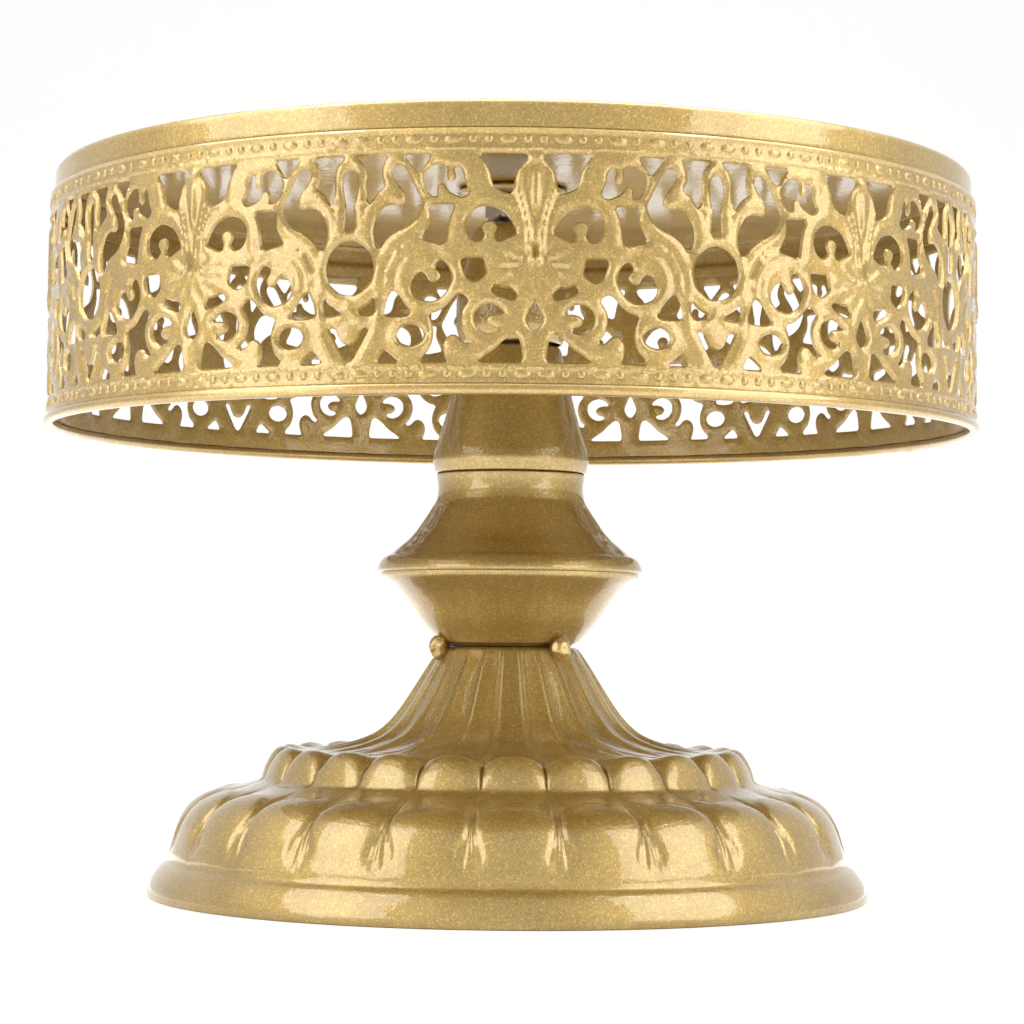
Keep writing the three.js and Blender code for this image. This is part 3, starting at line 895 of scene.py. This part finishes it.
# Outside line of the foot upwards, as [radius, z, lobe depth, slit depth, arch drop,
# flute depth, ridge height, crease depth]: how far the grooves between the lobes sink,
# the thin cut along them, how much the lobe's top falls at them, the hollow of the
# cone's flutes, the rib between two flutes, and the petal's short creases. Zeros at the
# end of a row are left out.
FOOT_LINE = [
    [93.4, 0.25], [94.2, 0], [95.7, 0], [96.2, 0.6], [96.15, 1.8], [95.75, 3.5], [94.85, 5.2],
    [93.7, 6.8], [92.6, 8.1], [92, 8.6], [91.1, 8.9], [90.6, 9.3], [90.45, 10], [90.5, 10.7],
    [90.7, 11.4, 0, 0, 0.9], [90.45, 12.3, 0.1, 0, 0.7, 0, 0, 0.1],
    [89.75, 14.2, 0.3, 0, 0.3, 0, 0, 0.9], [89.1, 16.4, 0.5, 0.1, 0, 0, 0, 1],
    [88.5, 18.4, 0.7, 0.25, 0, 0, 0, 1], [87.6, 20.6, 0.9, 0.4, 0, 0, 0, 1],
    [86.2, 22.9, 1.05, 0.5, 0, 0, 0, 0.6], [84.3, 24.9, 1.1, 0.5, 0, 0, 0, 0.2],
    [81.8, 26.6, 1.05, 0.5], [79, 27.7, 0.95, 0.4], [75.8, 28.6, 0.7, 0.3],
    [72.2, 29.3, 0.35, 0.1], [68.4, 30.1, 0.1], [66.8, 30.4, 0.1], [66.2, 30.9, 0.4, 0.2],
    [66, 31.8, 0.9, 0.4], [65.4, 33.9, 1.1, 0.5], [64.5, 35.8, 1.4, 0.5, 0.3],
    [63.7, 37.1, 1.5, 0.5, 1], [62.9, 38.3, 1.5, 0.5, 1.6], [61.8, 39.2, 1.4, 0.4, 1.9],
    [60.2, 39.5, 1.1, 0.3, 1.9], [58.6, 39.1, 0.7, 0.1, 1.3], [56.6, 38.5, 0.4, 0, 0.5],
    [54, 38.4, 0.1, 0, 0.1, 0, 0.1], [49.5, 38.8, 0, 0, 0, 0.25, 0.2],
    [44, 39.6, 0, 0, 0, 0.45, 0.3], [39.4, 40.9, 0, 0, 0, 0.6, 0.32],
    [35.6, 42.5, 0, 0, 0, 0.7, 0.32], [32.6, 44.9, 0, 0, 0, 0.7, 0.32],
    [30.2, 47.6, 0, 0, 0, 0.65, 0.3], [28, 50.7, 0, 0, 0, 0.6, 0.28],
    [25.9, 54, 0, 0, 0, 0.55, 0.26], [23.9, 57.3, 0, 0, 0, 0.5, 0.22],
    [21.8, 60.8, 0, 0, 0, 0.4, 0.2], [19.8, 63.9, 0, 0, 0, 0.3, 0.15], [18.9, 65.6, 0, 0, 0, 0.1],
    [18, 66.3], [ROD_HOLE_R, 66.3],
]

# Columns of half a lobe, closer together towards the groove.
LOBE_PHASES = [0, 0.2, 0.38, 0.52, 0.62, 0.69, 0.75, 0.81, 0.865, 0.91, 0.945, 0.975]

COLLAR_FOOT = 31                # above this z the grooves belong to the collar's lobes
LINE_PAIR_TOP = 30              # below this z a groove has a thin line on each side
FOOT_ROW_STEP = 1.2
INSIDE_ROW_STEP = 5.5
# Rows of FOOT_LINE that the inside follows, counted from its fifth.
INSIDE_ROWS = [0, 2, 4, *range(9, 27, 2), 28, *range(29, 48, 2), 48]

# The petal's creases: [start, top z, bottom z, spread], places as shares of half a lobe.
CREASE_SHAPES = [[0.07, 24.5, 13.2, 0.03], [0.14, 22.5, 14.0, 0.07], [0.2, 20.5, 15.2, 0.11]]
CREASE_DEPTH = 0.55
CREASE_WIDTH = 0.045


def foot_columns():
    """The angle of each column, and its place in its lobe: 0 in the middle, 1 at a groove."""
    half = 180 / LOBES
    phases = [-p for p in LOBE_PHASES[:0:-1]] + LOBE_PHASES + [1.0]
    angles = []
    places = []
    for lobe in range(LOBES):
        for phase in phases:
            angles.append(LOBE_CENTRE + (2 * lobe + phase) * half)
            places.append(phase)
    return np.array(angles), np.array(places)


def petal_creases(phase, z):
    """Short flame-like pressed lines that fan out from the foot of each groove."""
    from_groove = 1 - np.abs(phase)
    depth = np.zeros(len(phase))
    for start, top, bottom, spread in CREASE_SHAPES:
        place = start + spread * (top - z) / 5
        window = smooth_step((top - z) / 2.5) * smooth_step((z - bottom) / 1.5)
        line = np.exp(-((from_groove - place) / CREASE_WIDTH) ** 2)
        depth = depth + CREASE_DEPTH * window * line
    return depth


def under_arches(r, z, size):
    """How far the cove between the collar and the petals' arched tops lies back."""
    if not (66 < r < 86 and 22 < z < 30.8):
        return 0
    arch = 74 + 9 * size ** 2.2
    depth = 0.4 * (1 - smooth_step((r - arch) / 2.4))
    return depth * smooth_step((r - 67.0) / 4)


def foot_row(values, normal, phases, angles, detail):
    """One ring of the foot. Only the outside has the fine detail."""
    r, z, lobe, slit, drop, flute, ridge, crease = values
    size = np.abs(phases)
    sink = lobe * size ** (4 if z > COLLAR_FOOT else 2.6)
    line_gap = 0.06 if z < LINE_PAIR_TOP else 0
    groove = slit * np.exp(-((1 - size - line_gap) / 0.035) ** 2) if detail else 0
    hollow = flute * (1 - size ** 2) - 0.2 * flute
    rib = 0
    cuts = 0
    if detail:
        rib = ridge * np.exp(-((1 - size) / 0.2) ** 4)
        rib = rib - 0.5 * ridge * np.exp(-((1 - size - 0.3) / 0.05) ** 2)
        cuts = crease * petal_creases(phases, z)
    out = -sink - groove - hollow + rib - cuts - under_arches(r, z, size)
    fall = drop * size ** 2
    rows = []
    for angle, o, f in zip(angles, np.broadcast_to(out, angles.shape), fall):
        rows.append(around(angle, r + normal[0] * o, z + normal[1] * o - f))
    return rows


def line_normals(line):
    """Unit normals of the section line, pointing outwards."""
    run = np.gradient(line[:, :2], axis=0)
    length = np.hypot(run[:, 0], run[:, 1])
    return np.stack([run[:, 1], -run[:, 0]], axis=1) / length[:, None]


def foot_shell():
    """The one stamping of the foot: outside rows upwards, then inside rows down again."""
    angles, phases = foot_columns()
    columns = max(len(row) for row in FOOT_LINE)
    line = np.array([row + [0] * (columns - len(row)) for row in FOOT_LINE])
    line[:, 0] *= 1 + (FOOT_R / line[:, 0].max() - 1) * (line[:, 0] > 90)
    outer = evened(softened(line, 3), FOOT_ROW_STEP)
    outer[0, 1] = FOOT_BOTTOM + 0.25
    inner_line = beside(line[4:], FOOT_SHEET)[INSIDE_ROWS]
    inner_line = np.vstack([[93.0, 0.6] + [0] * (columns - 2), inner_line])
    inner = evened(softened(inner_line, 3), INSIDE_ROW_STEP)
    rows = []
    for values, normal in zip(outer, line_normals(outer)):
        rows.append(foot_row(values, normal, phases, angles, True))
    for values, normal in reversed(list(zip(inner, line_normals(inner)))):
        rows.append(foot_row(values, normal, phases, angles, False))
    return mesh_piece("foot_shell", *rings(rows, True), crease=60)


# ------------------------------------------------------------ welds and screws

TACK_ROWS = 24
TACK_COLUMNS = 36
TACK_FILL = 0.86                # share of the CAD lump's box that a smooth drop would fill
TACK_LUMPS = 0.24
TACK_RIPPLES = 0.05
TACK_SAG = 0.4


def tack_weld(number):
    """A lump of weld: a drop with ripples, stretched from the foot up to the bowl."""
    node = f"tack_weld_{number}"
    low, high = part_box(node)
    middle = (low + high) / 2 / MM
    half = (high - low) / 2 / MM
    rng = random.Random(number)
    offset = Vector((rng.random() * 50, rng.random() * 50, 0))
    rows = []
    for j in range(TACK_ROWS + 1):
        latitude = math.pi * (j / TACK_ROWS - 0.5)
        row = []
        for i in range(TACK_COLUMNS):
            turn = 2 * math.pi * i / TACK_COLUMNS
            spot = Vector((math.cos(latitude) * math.sin(turn),
                           -math.cos(latitude) * math.cos(turn), math.sin(latitude)))
            lumps = TACK_LUMPS * noise.noise(spot * 1.2 + offset)
            ripple = TACK_RIPPLES * noise.noise(spot * 4.5 + offset)
            size = TACK_FILL + lumps + ripple
            row.append((middle.x + half.x * spot.x * size, middle.y + half.y * spot.y * size,
                        middle.z - TACK_SAG + half.z * spot.z * size))
            if j in (0, TACK_ROWS):
                break
        rows.append(row)
    return mesh_piece(f"tack_lump_{number}", *rings(rows, False))


NUT_CHAMFER = 0.9
NUT_COLUMNS = 96
COUNTERSINK = 0.7
WASHER_SIDES = 96
ROD_COLUMNS = 32
THREAD_PITCH = 1.25
THREAD_DEPTH = 0.6
THREAD_LENGTH = 16
ROD_CHAMFER = 0.8


def hex_radius(angle, across):
    """Radius of a hexagon in a direction, from the half width across its flats."""
    return across / math.cos(math.radians((angle + 30) % 60 - 30))


def hex_nut(name, node):
    """A hexagon nut with chamfered corners and a countersunk hole."""
    low, high, reach = node_box(node)
    across = reach * math.cos(math.radians(30))
    rows = []
    levels = [(low, across - 0.1), (low + NUT_CHAMFER * 0.35, across + 0.35),
              (low + NUT_CHAMFER, reach), (high - NUT_CHAMFER, reach),
              (high - NUT_CHAMFER * 0.35, across + 0.35), (high, across - 0.1)]
    for z, limit in levels:
        row = []
        for i in range(NUT_COLUMNS):
            angle = 360 * i / NUT_COLUMNS
            row.append(around(angle, min(hex_radius(angle, across), limit), z))
        rows.append(row)
    mouth_r = ROD_HOLE_R + COUNTERSINK
    for r, z in ((mouth_r, high), (ROD_HOLE_R, high - COUNTERSINK),
                 (ROD_HOLE_R, low + COUNTERSINK), (mouth_r, low)):
        rows.append(circle(r, z, NUT_COLUMNS))
    return mesh_piece(name, *rings(rows, True), crease=28)


def flat_washer(name, node):
    low, high, reach = node_box(node)
    line = [[ROD_HOLE_R, low], [reach - 0.4, low], [reach, low + 0.3], [reach, high - 0.3],
            [reach - 0.4, high], [ROD_HOLE_R, high]]
    return lathe(name, evened(softened(line, 0.2), 1.0), WASHER_SIDES)


def tie_rod():
    """The rod: threaded at both ends, where the nuts are, and plain between them."""
    low, high, reach = node_box("tie_rod")
    threads = ((low + ROD_CHAMFER, low + THREAD_LENGTH),
               (high - THREAD_LENGTH, high - ROD_CHAMFER))
    levels = [low]
    for start, end in threads:
        levels.extend(np.arange(start, end, THREAD_PITCH / 6))
    levels.append(high)
    rows = [[(0, 0, low)]]
    for z in levels:
        threaded = any(start <= z <= end for start, end in threads)
        row = []
        for i in range(ROD_COLUMNS):
            cycle = (z / THREAD_PITCH - i / ROD_COLUMNS) % 1
            cut = THREAD_DEPTH * abs(2 * cycle - 1) if threaded else 0.3
            row.append(around(360 * i / ROD_COLUMNS, reach - cut, z))
        rows.append(row)
    rows.append([(0, 0, high)])
    return mesh_piece("tie_rod_bar", *rings(rows, False), crease=50)


# -------------------------------------------------------------------- assembly

dress(plate_pan(), "plate", "gold_paint")
dress(lace_band(), "lace_band", "gold_paint")
dress(wire_hoop(), "wire_ring", "pale_gold_paint")
for part, line in (("stem_cup", CUP_LINE), ("stem_bell", BELL_LINE),
                   ("stem_skirt", SKIRT_LINE), ("stem_bowl", BOWL_LINE)):
    dress(stamping(f"{part}_shell", line, part), part, "gold_paint")
dress(foot_shell(), "foot", "gold_paint")
for tack in (1, 2, 3):
    dress(tack_weld(tack), f"tack_weld_{tack}", "pale_gold_paint")
dress(flat_washer("support_disc", "support_washer"), "support_washer", "gold_paint")
dress(flat_washer("foot_disc", "foot_washer"), "foot_washer", "zinc_plate")
dress(hex_nut("top_hex_nut", "top_nut"), "top_nut", "zinc_plate")
dress(hex_nut("foot_hex_nut", "foot_nut"), "foot_nut", "zinc_plate")
dress(tie_rod(), "tie_rod", "zinc_plate")


# ----------------------------------------------------------------- stage, light

PAPER_REACH = 4000
SWEEP_START = 1500
SWEEP_R = 900
LIGHT_TARGET = Vector((0, 0, 100))


def plain_material(name, colour, roughness):
    material, tree, shader, _ = new_material(name)
    feed(tree, shader, {"Base Color": (*colour, 1), "Roughness": roughness})
    return material


def studio_floor():
    """One sheet of white paper: the floor, swept up into a wall far behind."""
    line = [[-PAPER_REACH, 0], [SWEEP_START, 0]]
    for k in range(1, 13):
        turn = math.pi / 2 * k / 12
        line.append([SWEEP_START + SWEEP_R * math.sin(turn), SWEEP_R - SWEEP_R * math.cos(turn)])
    line.append([SWEEP_START + SWEEP_R, PAPER_REACH])
    points = []
    faces = []
    for y, z in line:
        points.extend([(-PAPER_REACH, y, z), (PAPER_REACH, y, z)])
    for i in range(len(line) - 1):
        faces.append([2 * i, 2 * i + 1, 2 * i + 3, 2 * i + 2])
    floor = mesh_piece("paper_sweep", points, faces)
    floor.data.materials.append(plain_material("white_paper", (0.93, 0.93, 0.93), 0.8))


def towards(azimuth, elevation):
    """The unit vector from the object in a direction."""
    turn = math.radians(elevation)
    return Vector(around(azimuth, math.cos(turn), math.sin(turn)))


def softbox(name, low_end, high_end, distance, width, power):
    """A rectangular light that faces the object, from one direction up to another."""
    low = towards(*low_end) * distance + LIGHT_TARGET
    high = towards(*high_end) * distance + LIGHT_TARGET
    light = bpy.data.lights.new(name, "AREA")
    light.shape = "RECTANGLE"
    light.size = width * MM
    light.size_y = (high - low).length * MM
    light.energy = power
    middle = (low + high) / 2
    back = (middle - LIGHT_TARGET).normalized()
    right = (high - low).cross(back).normalized()
    up = back.cross(right)
    made = bpy.data.objects.new(name, light)
    made.rotation_euler = Matrix((right, up, back)).transposed().to_euler()
    made.location = middle * MM
    bpy.context.scene.collection.objects.link(made)


def studio():
    studio_floor()
    softbox("softbox_right", (48, -2), (106, 66), 900, 420, 4.4)
    softbox("softbox_left", (-46, -2), (-106, 66), 900, 420, 4.4)
    softbox("overhead", (180, 66), (0, 80), 1500, 1500, 23)
    world = bpy.data.worlds.new("studio_air")
    world.use_nodes = True
    background = world.node_tree.nodes["Background"]
    background.inputs["Color"].default_value = (1.0, 0.99, 0.975, 1)
    background.inputs["Strength"].default_value = 0.85
    bpy.context.scene.world = world
    bpy.context.scene.view_settings.view_transform = "Standard"
    bpy.context.scene.view_settings.look = "None"


def camera():
    """Level with the lower stem, tipped up to the plate, with a trace of roll."""
    lens = bpy.data.cameras.new("photo_camera")
    lens.lens = 97.28
    lens.sensor_width = 36
    lens.shift_x = 0.005
    lens.clip_start = 0.01
    lens.clip_end = 50
    made = bpy.data.objects.new("photo_camera", lens)
    made.location = Vector((-0.95, -747.1, 67.3)) * MM
    pitch = 0.0473
    roll = 0.009
    level = Euler((math.pi / 2 + pitch, 0, 0)).to_matrix()
    rolled = Euler((0, 0, roll)).to_matrix()
    made.rotation_euler = (level @ rolled).to_euler()
    bpy.context.scene.collection.objects.link(made)
    bpy.context.scene.camera = made


studio()
camera()
